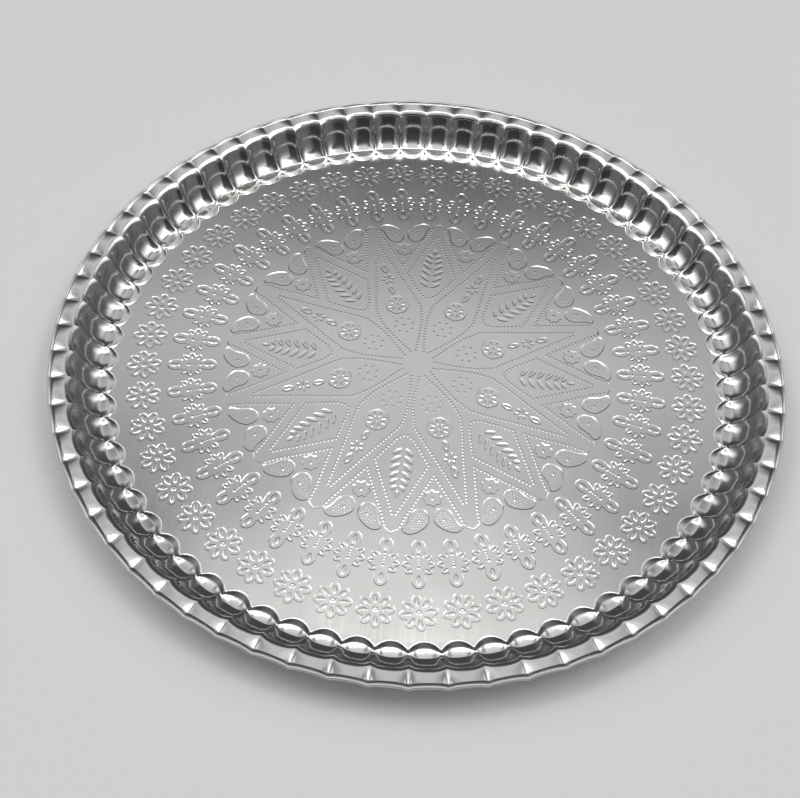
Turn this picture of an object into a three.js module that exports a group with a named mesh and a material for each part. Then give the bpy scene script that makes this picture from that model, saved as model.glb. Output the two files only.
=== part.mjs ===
// Round steel serving tray: a fluted pan pressed from one sheet, its edge curled round a stiffening wire.
// Millimetres, +Z up. The origin is the centre of the underside, on the surface that the tray stands on.
import * as THREE from 'three';

// Driving dimensions of the pan
const fluteCount = 68;
const sheet = 0.4; // thickness of the pressed sheet
const rimRadius = 200; // to the outside of the curled edge, at a crease
const panDepth = 19.7; // from the base up to the shoulder, both on the upper side
const flangeWidth = 8.8; // from the shoulder out to the rim, along a flute's middle
const flangeRise = 0.3; // how far the flange climbs from the shoulder to the rim, on average
const rimWave = 1.6; // how much higher the rim is at a flute's middle than at a crease
const rimInset = 0.6; // how much nearer the axis the rim is at a flute's middle
const shoulderScallop = 1.4; // how far the shoulder dips towards the axis at a crease
const shoulderRun = 1.8; // breadth of the bend from flange to wall, along a flute's middle
const shoulderFall = 2.2; // height of that bend
const ridgeRun = 2.6; // the same bend along a crease
const ridgeFall = 3.5;
const wallRun = 12.1; // how far the wall leans out from its foot to the bend, along a flute's middle
const wallBow = 0.7; // how hollow the wall is: 0 is straight, 1 is level at its foot and upright at its top
const ridgeBow = 0.45; // the same along a crease

// Driving dimensions of the foot, where each flute ends in a rounded step on the base
const footDepth = 0.8; // how far the foot dips towards the axis at a crease
const floorWidth = 6; // from the step to the foot of the wall
const floorRise = 0.2; // how much the flute's floor climbs over that width
const stepWidth = 3.3;
const stepHeight = 0.7;
const scallopDepth = 4.4; // how far the base runs out between two flutes
const noseWidth = 1.6; // the rounded lower end of a crease
const noseHeight = 1.8;
const ridgeRise = 1.8; // from the top of the nose to the foot of the crease

// Driving dimensions of the rim
const wireDiameter = 0.8;
const wireClearance = 0.15; // between the wire and the curl round it
const wireSides = 6;
const curlAngles = [110, 45, -20, -85, -150]; // where the curl's corners lie round the wire, in degrees

// Roundness of the flutes, and how finely surfaces are divided: round a flute, round its curl, up the wall
const fluteArc = 50; // half the arc that a flute's section spans, in degrees
const wallSteps = 4;
const curlSteps = 2;
const wallRows = 3;

const pitch = (2 * Math.PI) / fluteCount;
const curlInside = wireDiameter / 2 + wireClearance;
const curlOutside = curlInside + sheet;

// A value between its size at a crease (flute 0) and at a flute's middle (flute 1)
const between = (atCrease, atMiddle, flute) => THREE.MathUtils.lerp(atCrease, atMiddle, flute);

// Centre of the wire in its radial plane, as (radius, height)
function wireCentre(flute) {
  const radius = rimRadius - curlOutside - between(0, rimInset, flute);
  const top = sheet + panDepth + flangeRise + between(-rimWave, rimWave, flute) / 2;
  return new THREE.Vector2(radius, top - sheet / 2);
}

// Upper side of the sheet from the base's edge to the curl, as (radius, height) in one radial plane
function upperPath(flute) {
  const shoulderRadius = rimRadius - flangeWidth;
  const footRadius = shoulderRadius - shoulderRun - wallRun;
  const baseRadius = footRadius - floorWidth - stepWidth;
  const bend = new THREE.Vector2(ridgeRun, ridgeFall);
  bend.lerp(new THREE.Vector2(shoulderRun, shoulderFall), flute);
  const step = new THREE.Vector2(noseWidth, noseHeight);
  step.lerp(new THREE.Vector2(stepWidth, stepHeight), flute);

  const baseEdge = new THREE.Vector2(baseRadius + between(scallopDepth, 0, flute), sheet);
  const stepTop = baseEdge.clone().add(step);
  const footHeight = stepTop.y + between(ridgeRise, floorRise, flute);
  const foot = new THREE.Vector2(footRadius - between(footDepth, 0, flute), footHeight);
  const shoulder = new THREE.Vector2(shoulderRadius - between(shoulderScallop, 0, flute), sheet + panDepth);
  const wallTop = shoulder.clone().sub(bend);

  const straight = foot.clone().lerp(wallTop, 0.5);
  const corner = new THREE.Vector2(wallTop.x, foot.y);
  const bow = straight.lerp(corner, between(ridgeBow, wallBow, flute));
  const wall = new THREE.QuadraticBezierCurve(foot, bow, wallTop);

  const centre = wireCentre(flute);
  const reach = Math.sqrt(curlOutside ** 2 - (sheet / 2) ** 2);
  const flangeEnd = new THREE.Vector2(centre.x - reach, centre.y + sheet / 2);
  return [baseEdge, stepTop, ...wall.getPoints(wallRows), shoulder, flangeEnd];
}

// The lower side of the sheet under an upper path, one sheet thickness away from it
function lowerPath(upper) {
  const start = new THREE.Vector2(0, upper[0].y);
  return upper.map((point, i) => {
    const before = point.clone().sub(upper[i - 1] ?? start).normalize();
    const after = (upper[i + 1] ?? point.clone().add(before)).clone().sub(point).normalize();
    const along = before.clone().add(after).normalize();
    const mitre = sheet / along.dot(before);
    return new THREE.Vector2(point.x + along.y * mitre, point.y - along.x * mitre);
  });
}

// Corners of the curl round the wire, at a distance from the wire's centre
function curlPath(flute, distance) {
  const centre = wireCentre(flute);
  return curlAngles.map((degrees) => {
    const angle = THREE.MathUtils.degToRad(degrees);
    return new THREE.Vector2(Math.cos(angle), Math.sin(angle)).multiplyScalar(distance).add(centre);
  });
}

// The whole section of the sheet in one radial plane: out along the upper side, back along the lower one
function sheetSection(flute) {
  const upper = upperPath(flute);
  return [
    ...upper,
    ...curlPath(flute, curlOutside),
    ...curlPath(flute, curlInside).reverse(),
    ...lowerPath(upper).reverse(),
  ];
}

// How far a point of a flute's section is from the crease (0) towards the flute's middle (1):
// a round arch over the flute, with across running from -1 to 1
function arch(across) {
  const radius = 1 / Math.sin(THREE.MathUtils.degToRad(fluteArc));
  const spring = Math.sqrt(radius ** 2 - 1);
  return (Math.sqrt(radius ** 2 - across ** 2) - spring) / (radius - spring);
}

// One ring of points round the axis, blended flute by flute between the crease's point and the middle's
function flutedRing(atCrease, atMiddle, steps) {
  return Array.from({ length: fluteCount * steps }, (_, i) => {
    const place = atCrease.clone().lerp(atMiddle, arch((2 * (i % steps)) / steps - 1));
    const angle = (i / steps - 0.5) * pitch;
    return new THREE.Vector3(place.x * Math.cos(angle), place.x * Math.sin(angle), place.y);
  });
}

// Collects points and triangles for one closed surface
class Surface {
  points = [];
  triangles = [];

  add(ring) {
    const first = this.points.length;
    this.points.push(...ring);
    return ring.map((_, i) => first + i);
  }

  // A band from one ring to the next; one of them may have several times the other's points
  band(inner, outer) {
    const count = Math.min(inner.length, outer.length);
    const at = (ring, i) => ring[i % ring.length];
    for (let i = 0; i < count; i++) {
      const a = inner.length / count;
      const b = outer.length / count;
      for (let k = 0; k < b; k++) {
        this.triangles.push(at(inner, i * a), at(outer, i * b + k), at(outer, i * b + k + 1));
      }
      for (let k = 0; k < a; k++) {
        this.triangles.push(at(inner, i * a + k), at(outer, (i + 1) * b), at(inner, i * a + k + 1));
      }
    }
  }

  // A flat disc from a ring in to a point on the axis
  disc(ring, facesUp) {
    const [centre] = this.add([new THREE.Vector3(0, 0, this.points[ring[0]].z)]);
    ring.forEach((point, i) => {
      const next = ring[(i + 1) % ring.length];
      this.triangles.push(...(facesUp ? [centre, point, next] : [centre, next, point]));
    });
  }

  geometry() {
    return new THREE.BufferGeometry().setFromPoints(this.points).setIndex(this.triangles).toNonIndexed();
  }
}

function mesh(name, surface, material) {
  const made = new THREE.Mesh(surface.geometry(), material);
  made.geometry.computeVertexNormals();
  made.name = name;
  return made;
}

// The pan: base, stepped foot, fluted wall, creased flange and curled edge, all in one pressed sheet
function pressedPan() {
  const surface = new Surface();
  const crease = sheetSection(0);
  const middle = sheetSection(1);
  const curlStart = upperPath(0).length;
  const curlEnd = crease.length - curlStart;
  const rings = crease.map((point, i) => {
    const steps = i >= curlStart && i < curlEnd ? curlSteps : wallSteps;
    return surface.add(flutedRing(point, middle[i], steps));
  });
  rings.slice(1).forEach((ring, i) => surface.band(rings[i], ring));
  surface.disc(rings[0], true);
  surface.disc(rings.at(-1), false);
  const steel = new THREE.MeshStandardMaterial({ color: 0xc9c9c6, metalness: 1, roughness: 0.16 });
  return mesh('pressed_pan', surface, steel);
}

// The wire that stiffens the rim: a closed ring that follows the curl's wave
function rimWire() {
  const surface = new Surface();
  const corner = (flute, side) => {
    const angle = (-2 * Math.PI * side) / wireSides;
    const offset = new THREE.Vector2(Math.cos(angle), Math.sin(angle)).multiplyScalar(wireDiameter / 2);
    return wireCentre(flute).add(offset);
  };
  const rings = Array.from({ length: wireSides }, (_, side) =>
    surface.add(flutedRing(corner(0, side), corner(1, side), curlSteps)),
  );
  rings.forEach((ring, side) => surface.band(ring, rings[(side + 1) % wireSides]));
  const wire = new THREE.MeshStandardMaterial({ color: 0x9a9a98, metalness: 1, roughness: 0.35 });
  return mesh('rim_wire', surface, wire);
}

const tray = new THREE.Group();
tray.add(pressedPan(), rimWire());

export default tray;
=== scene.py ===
# Looks of a round steel serving tray: the fluted pressed sheet with its embossed base, on a pale floor.
# Sizes in the shape code are millimetres in the frame of the solids. Meshes are scaled to metres at the end.
import math

import bpy
import numpy as np
from mathutils import Matrix, Vector
from mathutils.geometry import delaunay_2d_cdt


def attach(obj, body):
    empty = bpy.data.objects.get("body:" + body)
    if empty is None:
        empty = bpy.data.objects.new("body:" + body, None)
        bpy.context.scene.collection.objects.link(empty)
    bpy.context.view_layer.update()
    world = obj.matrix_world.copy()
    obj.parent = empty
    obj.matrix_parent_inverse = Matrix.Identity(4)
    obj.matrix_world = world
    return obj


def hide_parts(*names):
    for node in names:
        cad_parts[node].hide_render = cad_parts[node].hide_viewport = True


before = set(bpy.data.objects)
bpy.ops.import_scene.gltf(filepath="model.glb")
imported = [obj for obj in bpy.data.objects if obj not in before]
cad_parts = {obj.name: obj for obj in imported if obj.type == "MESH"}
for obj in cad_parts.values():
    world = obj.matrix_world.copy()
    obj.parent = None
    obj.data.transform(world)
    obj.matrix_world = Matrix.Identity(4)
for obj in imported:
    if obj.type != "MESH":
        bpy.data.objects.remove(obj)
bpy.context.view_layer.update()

MM = 0.001

# Driving dimensions of the pan, close to those of the solids. A pair is a breadth and a height.
FLUTES = 68
SHEET = 0.4  # thickness of the pressed sheet
RIM_RADIUS = 200.0  # to the outside of the curled edge, at a crease
PAN_DEPTH = 20.1  # from the base up to the shoulder
FLANGE_WIDTH = 8.8  # from the shoulder out to the rim, along a flute's middle
FLANGE_RISE = 0.2
RIM_WAVE = 1.1  # how much higher the rim is at a flute's middle than at a crease
RIM_INSET = 0.6  # how much nearer the axis the rim is at a flute's middle
SHOULDER_SCALLOP = 1.6  # how much nearer the axis the shoulder is at a crease
SHOULDER_DIP = 0.3  # how much lower the shoulder is at a crease
SHOULDER_BEND = (2.7, 1.5)  # the bend from flange to wall, along a flute's middle
RIDGE_BEND = (4.2, 2.6)  # the same bend along a crease
BEND_BOW = 0.3
WALL_RUN = 12.0  # how far the wall leans out, along a flute's middle
WALL_BOW = 0.68  # how hollow the wall is: 0 is straight, 1 is level at its foot and upright at its top
RIDGE_BOW = 0.45  # the same along a crease
FOOT_DEPTH = 0.8  # how much nearer the axis the foot of the wall is at a crease
FLOOR_WIDTH = 5.2  # from a flute's step to the foot of the wall
FLOOR_RISE = 0.05
FLOOR_DISH = 0.09  # how far a flute's floor dips behind its step
DISH_PLACE = 0.17  # where it does, as a share of the floor
GROOVE = 0.07  # depth of the groove round the base
STEP = (3.3, 0.7)  # the step in which a flute ends on the base
NOSE = (2.0, 1.3)  # the rounded lower end of a crease
NOSE_BOW = 0.5
SCALLOP_DEPTH = 4.4  # how far the base runs out between two flutes
RIDGE_RISE = 0.4  # from the top of the nose to the foot of the crease
CURL_INSIDE = 0.55
CURL_OUTSIDE = CURL_INSIDE + SHEET

# How round a flute is in plan, low down to high up: a power, and the higher it is, the fuller the flute
FLOOR_ROUND = 2.3
LOW_ROUND = 4.2
WALL_ROUND = 3.2
ROUND_HEIGHTS = (2, 5, 14)

# Places across half a flute, from its middle (0) to the crease (1)
CREST = 0.97  # where the blunt top of the crease starts
FOLD = (0.93, 0.66)  # between these a flute's floor folds up to the crease
STRIP = (0.94, 0.85)  # between these the rim's panel rises from the narrow strip along the crease
RIM_ARCH = 0.7  # how far the panel falls off towards its sides
RIM_HEIGHTS = (10, 18)  # between these heights the floor's form gives way to the rim's

# Where the columns of points stand across one flute, from crease (-1) over the middle (0) to crease (1)
COLUMNS = (-1.0, -0.94, -0.85, -0.62, -0.3, 0.0, 0.3, 0.62, 0.85, 0.94)

# Layout of the embossing, in degrees round the axis and millimetres from it
RING_COUNT = 45
RING_AZIMUTH = 2.4
FLOWER_RING = 152.6
FLOWER_TURN = -9.0  # how far a flower is turned about its own centre
SPRAY_RING = 126.3
STAR_POINTS = 16
STAR_AZIMUTH = -3.0  # of the first point with a leaf; the next three are measured from such a point
STAR_NOTCH = (74.2, 13.95)  # radius and azimuth of the inner corner between two points
SMALL_FLOWER_TURN = 12.3
DROP_TURNS = (7.0, 15.5)
STAR_TIP = 109.6
SMALL_FLOWER_RING = 88.1
DROP_RING = 101.0
DOT_PITCH = 2.1
DOT_RADIUS = 0.92
DOT_HEIGHT = 0.14
UNDERSIDE_LIFT = 0.2  # how far the underside lies above what the tray stands on
UNDERSIDE_RIM = 0.991  # where it starts, as a share of the way to the base's edge

# The brightest part of the studio light, with 1 as white
BRIGHTEST = 6.5


def mix(a, b, share):
    return a + (b - a) * share


def vec(*values):
    return np.array(values, float)


# Profile of the pressed sheet in one radial plane, as (radius, height)


def bezier(a, b, c, shares):
    return [(1 - t) ** 2 * a + 2 * t * (1 - t) * b + t * t * c for t in shares]


def rounded(before, corner, after, reach):
    """Three points that round a corner off over a short reach to each side."""
    back = before - corner
    ahead = after - corner
    first = corner + back * min(0.45, reach / np.linalg.norm(back))
    last = corner + ahead * min(0.45, reach / np.linalg.norm(ahead))
    return [first, (first + 2 * corner + last) / 4, last]


def wire_centre(flute):
    radius = RIM_RADIUS - CURL_OUTSIDE - mix(0, RIM_INSET, flute)
    top = SHEET + PAN_DEPTH + FLANGE_RISE + mix(-RIM_WAVE, RIM_WAVE, flute) / 2
    return vec(radius, top - SHEET / 2)


def landmarks(flute):
    """Corners of the sheet's upper side, from the base's edge to the curl. At a crease flute is 0, and in a
    flute's middle it is 1."""
    shoulder_radius = RIM_RADIUS - FLANGE_WIDTH
    foot_radius = shoulder_radius - SHOULDER_BEND[0] - WALL_RUN
    base_radius = foot_radius - FLOOR_WIDTH - STEP[0]
    base_edge = vec(base_radius + mix(SCALLOP_DEPTH, 0, flute), SHEET)
    step_top = base_edge + mix(vec(*NOSE), vec(*STEP), flute)
    foot = vec(foot_radius - mix(FOOT_DEPTH, 0, flute), step_top[1] + mix(RIDGE_RISE, FLOOR_RISE, flute))
    dip = mix(vec(SHOULDER_SCALLOP, SHOULDER_DIP), vec(0, 0), flute)
    shoulder = vec(shoulder_radius, SHEET + PAN_DEPTH) - dip
    wall_top = shoulder - mix(vec(*RIDGE_BEND), vec(*SHOULDER_BEND), flute)
    corner = vec(wall_top[0], foot[1])
    bow = mix((foot + wall_top) / 2, corner, mix(RIDGE_BOW, WALL_BOW, flute))
    centre = wire_centre(flute)
    flange_end = vec(centre[0] - math.sqrt(CURL_OUTSIDE**2 - (SHEET / 2) ** 2), centre[1] + SHEET / 2)
    return base_edge, step_top, foot, bow, wall_top, shoulder, flange_end


def upper_side(flute):
    base_edge, step_top, foot, bow, wall_top, shoulder, flange_end = landmarks(flute)
    nose_bow = mix((base_edge + step_top) / 2, vec(base_edge[0], step_top[1]), mix(NOSE_BOW, 0.0, flute))
    bend_bow = mix((wall_top + shoulder) / 2, vec(wall_top[0], shoulder[1]), BEND_BOW)
    wall = bezier(foot, bow, wall_top, np.linspace(0, 1, 9))
    groove = [vec(1.0, 0), vec(0.65, 0.7 * GROOVE), vec(0.3, GROOVE)]
    points = [*(base_edge - offset for offset in groove), base_edge]
    points += bezier(base_edge, nose_bow, step_top, (0.35, 0.7))
    points += rounded(nose_bow, step_top, foot, 0.3)
    points += [mix(step_top, foot, DISH_PLACE) - vec(0, mix(0, FLOOR_DISH, flute))]
    points += rounded(step_top, foot, wall[1], 0.35)
    points += wall[1:-1]
    points += rounded(wall[-2], wall_top, bend_bow, 0.5)
    points += bezier(wall_top, bend_bow, shoulder, (0.35, 0.7))
    points += rounded(bend_bow, shoulder, flange_end, 0.7)
    points += [mix(shoulder, flange_end, 0.4), mix(shoulder, flange_end, 0.8), flange_end]
    return points


def curl(flute, distance, start, end, count):
    centre = wire_centre(flute)
    angles = np.radians(np.linspace(start, end, count))
    return [centre + distance * vec(math.cos(a), math.sin(a)) for a in angles]


def lower_side(flute):
    """The sheet's lower side under its main corners, one sheet thickness away."""
    base_edge, step_top, foot, bow, wall_top, shoulder, flange_end = landmarks(flute)
    upper = [base_edge, step_top, *bezier(foot, bow, wall_top, np.linspace(0, 1, 6)), shoulder, flange_end]
    path = []
    for i, point in enumerate(upper):
        before = point - (upper[i - 1] if i else vec(0, base_edge[1]))
        before /= np.linalg.norm(before)
        after = upper[i + 1] - point if i + 1 < len(upper) else before
        after = after / np.linalg.norm(after)
        along = (before + after) / np.linalg.norm(before + after)
        mitre = SHEET / along.dot(before)
        path.append(point + mitre * vec(along[1], -along[0]))
    return path


def sheet_section(flute):
    return [
        *upper_side(flute),
        *curl(flute, CURL_OUTSIDE, 145, -150, 11),
        *curl(flute, CURL_INSIDE, -150, 130, 5),
        *reversed(lower_side(flute)),
    ]


def flute_shares(across, height):
    """How far a place across a flute is from the crease (0) to the flute's middle (1), in radius and height.
    In plan a flute is round. In height its floor is level and folds up close to the creases, and the rim is
    an arched panel between narrow strips along the creases."""
    reach = min(abs(across), CREST)
    fold = min(1.0, max(0.0, (FOLD[0] - reach) / (FOLD[0] - FOLD[1])))
    floor = fold * fold * (3 - 2 * fold)
    panel = min(1.0, max(0.0, (STRIP[0] - abs(across)) / (STRIP[0] - STRIP[1])))
    rim = panel * (1 - RIM_ARCH * (across / STRIP[1]) ** 2)
    roundness = np.interp(height, ROUND_HEIGHTS, (FLOOR_ROUND, LOW_ROUND, WALL_ROUND))
    return 1 - reach**roundness, mix(floor, rim, np.interp(height, RIM_HEIGHTS, (0, 1)))


def sheet_rings():
    """Rings of points round the axis: from the base's edge out, over the curl, and back under the sheet."""
    crease = np.array(sheet_section(0))
    middle = np.array(sheet_section(1))
    turns = np.array([flute + across / 2 for flute in range(FLUTES) for across in COLUMNS])
    angles = turns * 2 * math.pi / FLUTES
    rings = []
    for low, high in zip(crease, middle):
        shares = np.array([flute_shares(across, high[1]) for across in COLUMNS] * FLUTES)
        places = low + (high - low) * shares
        radii, heights = places.T
        rings.append(np.column_stack([radii * np.cos(angles), radii * np.sin(angles), heights]))
    return np.array(rings)


# Embossing of the base


class Relief:
    """Points of an embossed flat sheet with their heights, and the lines that its surface has to follow.
    The upper side is fine. The lower side carries the larger forms only."""

    def __init__(self, fine):
        self.fine = fine
        self.level = 0.0
        self.points = []
        self.heights = []
        self.lines = []
        self.corners = []

    def point(self, place, height):
        self.points.append((float(place[0]), float(place[1])))
        self.heights.append(self.level + height)
        return len(self.points) - 1

    def loop(self, places, height, corner=False):
        """A closed line at one height. The surface has a corner along it, or runs smoothly over it."""
        ids = [self.point(place, height) for place in places]
        edges = list(zip(ids, ids[1:] + ids[:1]))
        self.lines += edges
        if corner:
            self.corners += edges

    def crest(self, places, height):
        ids = [self.point(place, height) for place in places]
        self.lines += list(zip(ids, ids[1:]))


class Spot:
    """A place on the base with its own directions: x runs round the axis, y away from it, then turned."""

    def __init__(self, azimuth, radius, turn=0.0, flip=1):
        angle = math.radians(azimuth)
        out = vec(math.cos(angle), math.sin(angle))
        round_axis = vec(-out[1], out[0])
        turned = math.radians(turn)
        self.centre = radius * out
        self.x = (round_axis * math.cos(turned) + out * math.sin(turned)) * flip
        self.y = out * math.cos(turned) - round_axis * math.sin(turned)

    def at(self, x, y):
        return self.centre + x * self.x + y * self.y

    def all(self, places):
        return [self.at(x, y) for x, y in places]


def round_loop(x, y, radius, count, start=0.0):
    angles = [start + 2 * math.pi * i / count for i in range(count)]
    return [(x + radius * math.cos(a), y + radius * math.sin(a)) for a in angles]


def almond_loop(x, y, length, width, turn, count):
    """A pointed oval, its length along y before it is turned."""
    turned = math.radians(turn)
    places = []
    for i in range(count):
        a = 2 * math.pi * i / count
        side = math.sin(a) * abs(math.sin(a)) ** 0.25 * width / 2
        along = math.cos(a) * length / 2
        places.append((
            x + side * math.cos(turned) - along * math.sin(turned),
            y + side * math.sin(turned) + along * math.cos(turned),
        ))
    return places


def inset(places, distance):
    """A closed line moved inwards; a negative distance moves it outwards."""
    line = np.array(places)
    ahead = np.roll(line, -1, 0) - line
    ahead /= np.linalg.norm(ahead, axis=1)[:, None]
    normal = np.stack([-ahead[:, 1], ahead[:, 0]], 1)
    both = normal + np.roll(normal, 1, 0)
    both /= np.linalg.norm(both, axis=1)[:, None]
    area = np.sum(line[:, 0] * np.roll(line[:, 1], -1) - line[:, 1] * np.roll(line[:, 0], -1))
    stretch = 1 / np.maximum(0.6, np.sum(both * normal, 1))
    return [tuple(p) for p in line + both * (distance * stretch * math.copysign(1, area))[:, None]]


def bead(relief, place, radius=DOT_RADIUS, height=DOT_HEIGHT, base=0.0):
    """A small round dome."""
    if not relief.fine:
        return
    relief.loop([place + vec(*p) for p in round_loop(0, 0, radius, 6, 0.4)], base, corner=True)
    relief.point(place, base + height)


def bead_row(relief, line, last=True):
    """Beads at even steps along a line, with or without one at its end."""
    line = np.array(line)
    lengths = np.concatenate([[0], np.cumsum(np.linalg.norm(np.diff(line, axis=0), axis=1))])
    steps = max(1, round(lengths[-1] / DOT_PITCH))
    for i in range(steps + (1 if last else 0)):
        along = lengths[-1] * i / steps
        bead(relief, vec(*(np.interp(along, lengths, line[:, k]) for k in (0, 1))))


def almond(relief, spot, x, y, length, width, turn=0.0, base=0.0, height=0.16, edge=0.5):
    """A pointed oval boss, or with a negative height a pit: a sloping edge round a gently curved middle."""
    count = 10 if relief.fine else 6
    outline = almond_loop(x, y, length, width, turn, count)
    relief.loop(spot.all(outline), base, corner=True)
    if relief.fine:
        relief.loop(spot.all(inset(outline, min(edge, 0.22 * width))), base + height * 0.8, corner=True)
    turned = math.radians(turn)
    back = length * 0.14
    ends = [(x - s * back * math.sin(turned), y + s * back * math.cos(turned)) for s in (-1, 1)]
    relief.crest(spot.all(ends), base + height)


def plate(relief, spot, outline, depth, edge):
    """A flat floor below the sheet, with a sloping edge."""
    relief.loop(spot.all(outline), 0.0, corner=True)
    relief.loop(spot.all(inset(outline, edge)), -depth, corner=True)


def lobed_outline(lobes, count):
    """Outline of oval lobes set round a centre. Each has the direction of its axis in degrees, the distance
    of its middle from the centre, and half its length and width."""
    places = []
    for i in range(count):
        angle = 2 * math.pi * i / count
        far = 0.0
        for turn, middle, length, width in lobes:
            along = math.cos(angle - math.radians(turn))
            across = math.sin(angle - math.radians(turn))
            a = (along / length) ** 2 + (across / width) ** 2
            b = along * middle / length**2
            c = (middle / length) ** 2 - 1
            if b * b >= a * c:
                far = max(far, (b + math.sqrt(b * b - a * c)) / a)
        places.append((far * math.cos(angle), far * math.sin(angle)))
    return places


def smooth_outline(knots, steps):
    """A closed smooth line through a few knots."""
    line = np.array(knots)
    slope = (np.roll(line, -1, 0) - np.roll(line, 1, 0)) / 2
    places = []
    for i in range(len(line)):
        j = (i + 1) % len(line)
        for k in range(steps):
            t = k / steps
            keep = 2 * t**3 - 3 * t**2 + 1
            place = keep * line[i] + (1 - keep) * line[j]
            place += (t**3 - 2 * t**2 + t) * slope[i] + (t**3 - t**2) * slope[j]
            places.append(tuple(place))
    return places


def ring_flower(relief, spot):
    """Flower of the outer ring: eight sunk petals, an oval boss in each, and a small ring in the middle."""
    turns = [45 * petal + 90 for petal in range(8)]
    boss = 5.8
    outline = lobed_outline([(turn, 6.2, 3.7, 2.75) for turn in turns], 64 if relief.fine else 32)
    floor = 0.1
    plate(relief, spot, outline, floor, 0.38)
    if not relief.fine:
        return
    for turn in turns:
        x = boss * math.cos(math.radians(turn))
        y = boss * math.sin(math.radians(turn))
        almond(relief, spot, x, y, 5.2, 2.4, turn - 90, base=-floor, height=0.12)
    for radius, height in ((1.6, -floor), (1.2, 0.05), (0.7, -0.03)):
        relief.loop(spot.all(round_loop(0, 0, radius, 8)), height, corner=height < -0.05)


def ring_spray(relief, spot):
    """Motif of the second ring: an oval at each end, three petals to each side, and a row of beads."""
    petals = [(turn, 5.4) for turn in (37, 1, -37, 143, 179, 217)]
    lobes = [(0, 0, 5.0, 5.0), (90, 8.4, 5.2, 3.9), (270, 9.2, 4.9, 3.9)]
    lobes += [(turn, distance, 3.0, 2.0) for turn, distance in petals]
    floor = 0.13
    plate(relief, spot, lobed_outline(lobes, 72 if relief.fine else 32), floor, 0.5)
    if not relief.fine:
        return
    almond(relief, spot, 0, 9.0, 6.2, 2.7, base=-floor, height=0.15)
    almond(relief, spot, 0, -9.4, 6.2, 2.7, base=-floor, height=0.15)
    for turn, distance in petals:
        x = 1.08 * distance * math.cos(math.radians(turn))
        y = 1.08 * distance * math.sin(math.radians(turn))
        almond(relief, spot, x, y, 3.2, 1.7, turn - 90, base=-floor, height=0.12)
    large, small = (1.0, 0.32), (0.6, 0.12)
    for y, size in ((-4.9, large), (-2.9, small), (-1.4, small), (0.1, small), (1.9, large)):
        bead(relief, spot.at(0, y), *size, base=-floor)


def leaf_kite(relief, azimuth):
    """A beaded kite along a star point, with a leaf of sunk leaflets in it."""
    spot = Spot(azimuth, 0)
    upper = [(1.05, 98.2), (14.3, 66.4)]
    lower = [(14.3, 66.4), (9.1, 58.4), (4.4, 51.6), (1.05, 49.2)]
    leaflets = ((60.0, 7.2), (64.9, 7.8), (69.8, 7.8), (74.6, 7.2), (78.9, 6.2), (82.8, 4.8))
    tilt = 52
    stalk = 0.45
    sunk = {"height": -0.1, "edge": 0.6}
    for side in (-1, 1):
        bead_row(relief, spot.all([(side * x, y) for x, y in upper]), last=False)
        bead_row(relief, spot.all([(side * x, y) for x, y in lower]))
        for y, length in leaflets:
            reach = stalk + length / 2 * math.cos(math.radians(90 - tilt))
            almond(relief, spot, side * reach, y, length, 2.8, -side * tilt, **sunk)
    almond(relief, spot, 0, 86.6, 4.8, 2.6, **sunk)


def flower_kite(relief, azimuth):
    """A beaded kite along a star point, with a spray, a disc and a cluster of beads in it."""
    spot = Spot(azimuth, 0)
    half = [(93, 1.05), (78, 4.4), (66, 7.2), (52, 10.8), (41, 13.2), (31, 11.2), (21, 7.2), (9.4, 1.5)]
    radii = np.array([r for r, _ in half])[::-1]
    widths = np.array([w for _, w in half])[::-1]
    line = [(float(np.interp(r, radii, widths)), r) for r in np.linspace(radii[0], radii[-1], 60)]
    for side in (-1, 1):
        bead_row(relief, spot.all([(side * x, y) for x, y in line]))
    oval_floor = 0.08
    for middle, length, width in ((74.2, 8.0, 4.4), (57.0, 7.4, 4.0)):
        plate(relief, spot, almond_loop(0, middle, length, width, 0, 14), oval_floor, 0.5)
        almond(relief, spot, 0, middle, 0.55 * length, 0.4 * width, base=-oval_floor, height=0.08)
    flower, petal_reach = 65.6, 2.7
    for petal in range(6):
        turn = 30 + 60 * petal
        x = -petal_reach * math.sin(math.radians(turn))
        y = flower + petal_reach * math.cos(math.radians(turn))
        almond(relief, spot, x, y, 3.0, 1.9, turn, height=-0.08)
    bead(relief, spot.at(0, flower), 0.85)
    disc, disc_floor, rib_reach = 44.9, 0.07, 4.0
    plate(relief, spot, round_loop(0, disc, 7.3, 8, math.pi / 8), disc_floor, 0.5)
    for rib in range(8):
        turn = 45 * rib
        x = -rib_reach * math.sin(math.radians(turn))
        y = disc + rib_reach * math.cos(math.radians(turn))
        almond(relief, spot, x, y, 3.4, 1.6, turn, base=-disc_floor, height=0.08)
    bead(relief, spot.at(0, disc), 1.0, base=-disc_floor)
    cluster = 28.8
    for x, y in round_loop(0, cluster, 5.2, 8):
        bead(relief, spot.at(x, y), 1.0)
    bead(relief, spot.at(0, cluster), 1.1)


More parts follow.
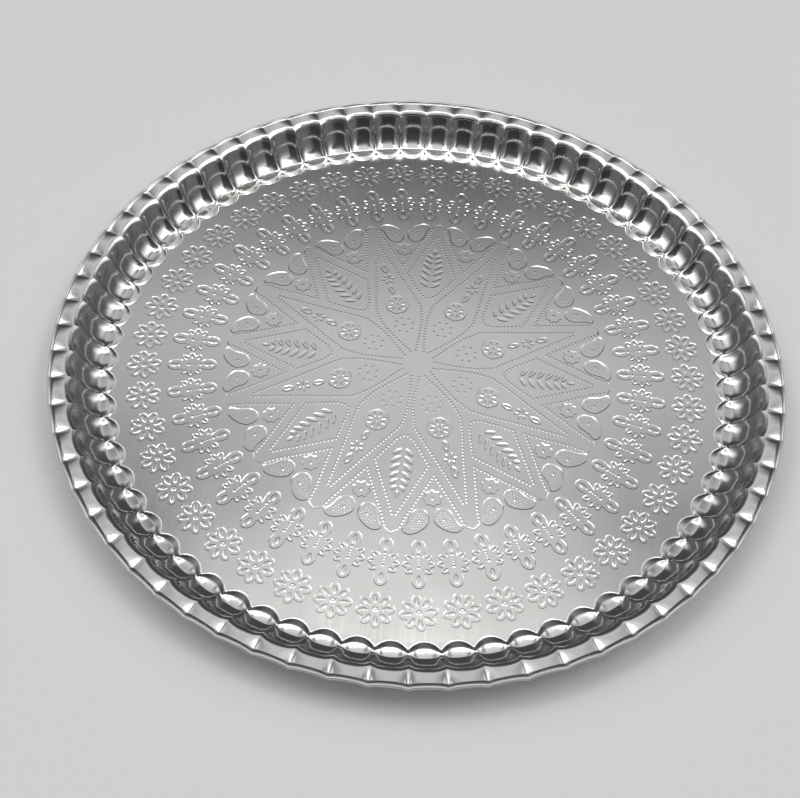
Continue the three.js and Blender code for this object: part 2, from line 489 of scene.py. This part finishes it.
def drop(relief, azimuth, flip):
    """A sunk drop between two star points: an egg drawn out to a tail at one side, with a beaded floor."""
    spot = Spot(azimuth, DROP_RING, flip=flip)
    knots = [
        (-7.75, 6.1), (-4.8, 8.2), (-1.7, 7.9), (1.5, 6.3), (4.2, 4.0), (6.1, 1.2), (6.1, -1.2), (5.5, -4.0),
        (3.75, -6.0), (1.8, -6.6), (-0.1, -6.3), (-2.0, -5.2), (-3.6, -3.0), (-4.5, -0.1), (-5.6, 2.8),
    ]
    outline = smooth_outline(knots, 2 if relief.fine else 1)
    floor = 0.13
    plate(relief, spot, inset(outline, -0.35), floor, 0.6)
    middle = vec(1.2, 0)
    bead(relief, spot.at(*middle), 1.0, 0.16, base=-floor)
    inside = np.array(outline)
    column_pitch, row_pitch, margin = 1.65, 1.43, 1.75
    for row in range(-3, 4):
        for column in range(-4, 4):
            place = vec(middle[0] + column_pitch * (column + row % 2 / 2), row_pitch * row)
            gap = np.linalg.norm(inside - place, axis=1).min()
            if gap > margin and column_pitch < np.linalg.norm(place - middle) < 6:
                bead(relief, spot.at(*place), 0.5, 0.06, base=-floor)


def small_flower(relief, azimuth):
    """A small sunk scalloped flower between two star points."""
    spot = Spot(azimuth, SMALL_FLOWER_RING)
    lobes = [(45 * i + 90, 3.5, 1.8, 1.5) for i in range(8)]
    floor = 0.08
    plate(relief, spot, lobed_outline(lobes, 40 if relief.fine else 24), floor, 0.5)
    bead(relief, spot.at(0, 0), 1.1, 0.18, base=-floor)


def star_point(relief, azimuth, notch_turn):
    """The beaded sides of one star point and the grooved chevron at its tip."""
    spot = Spot(azimuth, 0)
    for side in (-1, 1):
        notch = Spot(azimuth + side * notch_turn, STAR_NOTCH[0]).centre
        shoulder = spot.at(side * 4.1, 105.0)
        waist = mix(shoulder, notch, 0.2) - side * 0.45 * spot.x
        bead_row(relief, [shoulder, waist, notch], last=False)
    tip = STAR_TIP
    upper = [(0, tip + 0.5), (-4.0, tip - 2.1)]
    lower = [(-3.6, tip - 2.9), (0, tip - 0.7), (3.6, tip - 2.9)]
    relief.loop(spot.all([*upper, *lower, (4.0, tip - 2.1)]), 0.0, corner=True)
    relief.crest(spot.all([(-3.5, tip - 2.3), (0, tip - 0.1), (3.5, tip - 2.3)]), -0.1)


def emboss(relief):
    """The whole ornament: two rings of flowers, and a sixteen-pointed star with its fillings."""
    for i in range(RING_COUNT):
        azimuth = RING_AZIMUTH + i * 360 / RING_COUNT
        ring_flower(relief, Spot(azimuth, FLOWER_RING, FLOWER_TURN))
        ring_spray(relief, Spot(azimuth, SPRAY_RING))
    step = 360 / STAR_POINTS
    for i in range(STAR_POINTS // 2):
        leaf = STAR_AZIMUTH + 2 * step * i
        star_point(relief, leaf, STAR_NOTCH[1])
        star_point(relief, leaf + step, step - STAR_NOTCH[1])
        leaf_kite(relief, leaf)
        flower_kite(relief, leaf + step)
        for side in (-1, 1):
            bead(relief, Spot(leaf + side * STAR_NOTCH[1], STAR_NOTCH[0]).centre)
            small_flower(relief, leaf + side * SMALL_FLOWER_TURN)
            drop(relief, leaf + side * DROP_TURNS[0], side)
            drop(relief, leaf + side * DROP_TURNS[1], -side)


def base_faces(rim, fine):
    """Triangulates the base inside its edge. Gives its points, their heights, its faces and the edges with a
    corner. The edge's points come first. No two lines of the embossing cross, so no point is added."""
    relief = Relief(fine)
    relief.loop(rim, 0.0, corner=True)
    if not fine:
        relief.level = UNDERSIDE_LIFT
        relief.loop(UNDERSIDE_RIM * rim, 0.0, corner=True)
    emboss(relief)
    _, _, faces, sources, _, _ = delaunay_2d_cdt(
        [Vector(p) for p in relief.points], relief.lines, [], 1, 1e-6)
    faces = [[sources[i][0] for i in face] for face in faces]
    return np.array(relief.points), np.array(relief.heights), faces, relief.corners


def edge_keys(pairs, total):
    """One number for each pair of points, whatever their order."""
    return np.sort(pairs, 1) @ np.array([total, 1])


def build_pan():
    """The pressed sheet as one closed mesh."""
    rings = sheet_rings()
    count = rings.shape[1]
    points = [rings.reshape(-1, 3)]
    faces = []
    for k in range(len(rings) - 1):
        for i in range(count):
            j = (i + 1) % count
            faces.append((k * count + i, (k + 1) * count + i, (k + 1) * count + j, k * count + j))
    corners = []
    total = len(rings) * count
    upper_base = (0, SHEET, 1, True)
    lower_base = ((len(rings) - 1) * count, 0.0, -1, False)
    for first, level, sign, fine in (upper_base, lower_base):
        rim = points[0][first : first + count, :2]
        places, heights, base, edges = base_faces(rim, fine)
        shift = np.arange(len(places)) - count + total
        shift[:count] = np.arange(count) + first
        inner = np.column_stack([places[count:], level + heights[count:]])
        points.append(inner)
        total += len(inner)
        for face in base:
            face = [int(shift[i]) for i in face]
            faces.append(face[::sign])
        corners += [(int(shift[a]), int(shift[b])) for a, b in edges]
    mesh = bpy.data.meshes.new("tray_pan")
    mesh.from_pydata(np.concatenate(points) * MM, [], faces)
    mesh.polygons.foreach_set("use_smooth", np.ones(len(mesh.polygons), bool))
    edges = np.zeros(len(mesh.edges) * 2, int)
    mesh.edges.foreach_get("vertices", edges)
    sharp = np.isin(edge_keys(edges.reshape(-1, 2), total), edge_keys(np.array(corners), total))
    mesh.attributes.new("sharp_edge", "BOOLEAN", "EDGE").data.foreach_set("value", sharp)
    pan = bpy.data.objects.new("tray_pan", mesh)
    bpy.context.scene.collection.objects.link(pan)
    return pan


# Materials


class Nodes:
    """Adds nodes to a tree and joins them."""

    def __init__(self, tree):
        self.tree = tree
        tree.nodes.clear()

    def add(self, kind, inputs=None, **settings):
        node = self.tree.nodes.new("ShaderNode" + kind)
        for name, value in settings.items():
            setattr(node, name, value)
        for name, value in (inputs or {}).items():
            socket = node.inputs[name]
            if isinstance(value, bpy.types.NodeSocket):
                self.tree.links.new(value, socket)
            else:
                socket.default_value = value
        return node

    def ramp(self, factor, stops):
        """A colour ramp. A stop's colour is three numbers, or a single one for a grey."""
        node = self.add("ValToRGB", {"Fac": factor})
        elements = node.color_ramp.elements
        elements[0].position, elements[1].position = stops[0][0], stops[-1][0]
        for position, _ in stops[1:-1]:
            elements.new(position)
        for element, (_, colour) in zip(elements, stops):
            element.color = (*colour, 1) if len(colour) == 3 else (colour[0],) * 3 + (1,)
        return node.outputs["Color"]

    def noise(self, place, scale, detail, roughness=0.5):
        inputs = {"Vector": place, "Scale": scale, "Detail": detail, "Roughness": roughness}
        return self.add("TexNoise", inputs).outputs["Fac"]

    def span(self, value, start, end, low=0.0, high=1.0):
        """Takes a value from one range to another, and holds it at the ends."""
        inputs = {"Value": value, "From Min": start, "From Max": end, "To Min": low, "To Max": high}
        return self.add("MapRange", inputs).outputs["Result"]

    def join(self, operation, a, b):
        return self.add("Math", {0: a, 1: b}, operation=operation).outputs[0]

    def bump(self, height, strength, distance, normal=None):
        inputs = {"Strength": strength, "Distance": distance, "Height": height}
        if normal is not None:
            inputs["Normal"] = normal
        return self.add("Bump", inputs).outputs["Normal"]


def steel(name, light, dark, smooth, rough, waves):
    """Polished sheet steel: slight cloudiness, fine rolling marks, wiping marks and a gentle unevenness.
    The fluted wall is slightly dented, and the rolled edge is duller than the rest."""
    material = bpy.data.materials.new(name)
    material.use_nodes = True
    n = Nodes(material.node_tree)
    place = n.add("TexCoord").outputs["Object"]
    cloud = n.noise(place, 26.0, 4.0)
    along = n.add("Mapping", {"Vector": place, "Scale": (900.0, 22.0, 60.0)}).outputs["Vector"]
    rolled = n.noise(along, 1.0, 3.0)
    wiped = n.noise(place, 340.0, 2.0, 0.6)
    wave = n.noise(place, 13.0, 1.0)
    dent = n.noise(place, 130.0, 0.0)
    plan = n.add("VectorMath", {0: place, 1: (1.0, 1.0, 0.0)}, operation="MULTIPLY").outputs["Vector"]
    radius = n.add("VectorMath", {0: plan}, operation="LENGTH").outputs["Value"]
    fluted = n.span(radius, 0.168, 0.178)
    rolled_edge = n.span(radius, 0.197, 0.1985, high=0.45)
    gloss = n.span(n.join("ADD", cloud, rolled), 0.7, 1.3, smooth, rough)
    swell = n.bump(wave, 1.0, waves)
    uneven = n.bump(n.join("MULTIPLY", dent, fluted), 1.0, 1.4e-4, swell)
    lines = n.bump(rolled, 0.12, 2e-5, uneven)
    marks = n.bump(wiped, 0.1, 2e-5, lines)
    shader = n.add("BsdfPrincipled", {
        "Base Color": n.ramp(cloud, [(0.3, dark), (0.7, light)]),
        "Metallic": 1.0,
        "Roughness": n.join("ADD", gloss, rolled_edge),
        "Normal": marks,
    })
    n.add("OutputMaterial", {"Surface": shader.outputs["BSDF"]})
    return material


def paper():
    """Matt pale paper for the floor."""
    material = bpy.data.materials.new("floor_paper")
    material.use_nodes = True
    n = Nodes(material.node_tree)
    place = n.add("TexCoord").outputs["Object"]
    fibre = n.noise(place, 900.0, 3.0)
    colour = n.ramp(fibre, [(0.3, (0.905,)), (0.7, (0.925,))])
    bump = n.bump(fibre, 0.08, 1e-4)
    shader = n.add("BsdfPrincipled", {"Base Color": colour, "Roughness": 0.85, "Normal": bump})
    n.add("OutputMaterial", {"Surface": shader.outputs["BSDF"]})
    return material


# Floor, light and camera


def build_floor():
    mesh = bpy.data.meshes.new("floor")
    size, low = 4.0, -0.0002
    corners = [(-size, -size, low), (size, -size, low), (size, size, low), (-size, size, low)]
    mesh.from_pydata(corners, [], [(0, 1, 2, 3)])
    floor = bpy.data.objects.new("floor", mesh)
    bpy.context.scene.collection.objects.link(floor)
    floor.data.materials.append(paper())


def grey(stops):
    """Stops for a ramp over a direction's Z, from elevations in degrees and brightnesses."""
    return [(math.sin(math.radians(elevation)), (bright / BRIGHTEST,)) for elevation, bright in stops]


def build_world():
    """Soft studio light: a bright ring overhead with an opening, a grey sweep behind the tray that turns
    bright at its flanks, and a dim room behind the camera with brighter sides."""
    world = bpy.data.worlds.new("studio")
    bpy.context.scene.world = world
    world.use_nodes = True
    n = Nodes(world.node_tree)
    axes = n.add("SeparateXYZ", {"Vector": n.add("TexCoord").outputs["Generated"]})
    up = axes.outputs["Z"]
    floor_edge = [(0, 0.5), (1.5, 0.45)]
    ceiling = [(72.5, 5.6), (74, 5.6), (76.5, 1.0), (86, 0.85)]
    behind = n.ramp(up, grey([
        *floor_edge, (3, 0.07), (34, 0.07), (40, 0.13), (44, 0.2), (46, 0.32), (48, 0.52), (51, 0.73),
        (55, 0.68), (58, 0.66), (61, 0.82), (65, 0.88), (68, 1.0), (70.5, 4.6), *ceiling,
    ]))
    aside = n.ramp(up, grey([
        *floor_edge, (3, 0.07), (34, 0.08), (40, 0.16), (46, 0.45), (50, 0.58), (54, 0.42), (58, 0.22),
        (60, 0.27), (63, 0.6), (67, 1.3), (71.5, 2.2), (74, 2.2), (76.5, 1.0), (86, 0.85),
    ]))
    flank = n.ramp(up, grey([
        *floor_edge, (3, 0.13), (24, 0.13), (33, 0.3), (40, 0.7), (46, 1.05), (53, 1.6), (60, 5.2),
        (69, 6.5), *ceiling,
    ]))
    room = n.ramp(up, grey([
        (0, 0.5), (1.5, 0.4), (3, 0.045), (20, 0.045), (35, 0.06), (50, 0.07), (60, 0.1), (66, 0.2),
        (72, 0.35), (80, 0.7), (86, 0.85),
    ]))
    beside = n.ramp(up, grey([
        *floor_edge, (3, 0.16), (25, 0.2), (40, 0.4), (55, 1.4), (66, 3.8), (73, 4.2), (77, 1.0), (86, 0.85),
    ]))

    def blend(factor, a, b):
        return n.add("Mix", {0: factor, 6: a, 7: b}, data_type="RGBA").outputs[2]

    across = n.add("Math", {0: axes.outputs["X"]}, operation="ABSOLUTE").outputs[0]
    sweep = blend(n.span(across, 0.08, 0.27), behind, aside)
    far = blend(n.span(across, 0.34, 0.5), sweep, flank)
    near = blend(n.span(across, 0.42, 0.62), room, beside)
    both = blend(n.span(axes.outputs["Y"], 0.0, -0.2), far, near)
    light = n.add("Background", {"Color": both, "Strength": BRIGHTEST})
    n.add("OutputWorld", {"Surface": light.outputs["Background"]})


def build_camera():
    """A camera at the photograph's viewing angle, as fitted to the rim's outline. Angles are radians."""
    distance, elevation = 3.15917 * RIM_RADIUS * MM, 0.894604
    pan, tilt, roll = 0.012799, -0.051019, 0.077533
    rim_height = 0.0204
    azimuth = math.radians(0.597)
    look = Vector((0, math.cos(elevation), -math.sin(elevation)))
    right = Vector((1, 0, 0))
    above = right.cross(look)
    axes = Matrix((right, above, -look)).transposed()
    turn = Matrix.Rotation(pan, 3, "Y") @ Matrix.Rotation(tilt, 3, "X") @ Matrix.Rotation(roll, 3, "Z")
    place = -distance * look + Vector((0, 0, rim_height))
    camera = bpy.data.cameras.new("camera")
    camera.sensor_fit = "HORIZONTAL"
    camera.sensor_width = 36.0
    camera.lens = 51.672
    view = bpy.data.objects.new("camera", camera)
    bpy.context.scene.collection.objects.link(view)
    about_axis = Matrix.Rotation(azimuth, 4, "Z")
    view.matrix_world = about_axis @ Matrix.Translation(place) @ (axes @ turn).to_4x4()
    bpy.context.scene.camera = view


pan = build_pan()
polished = {"light": (0.74, 0.735, 0.72), "dark": (0.70, 0.695, 0.68), "smooth": 0.07, "rough": 0.15}
pan.data.materials.append(steel("polished_steel", **polished, waves=2.5e-4))
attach(pan, "root")
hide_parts("pressed_pan")

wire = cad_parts["rim_wire"]
wire.data.materials.clear()
drawn = {"light": (0.6, 0.6, 0.59), "dark": (0.5, 0.5, 0.49), "smooth": 0.28, "rough": 0.42}
wire.data.materials.append(steel("steel_wire", **drawn, waves=1e-5))

build_floor()
build_world()
build_camera()
bpy.context.scene.view_settings.view_transform = "Standard"
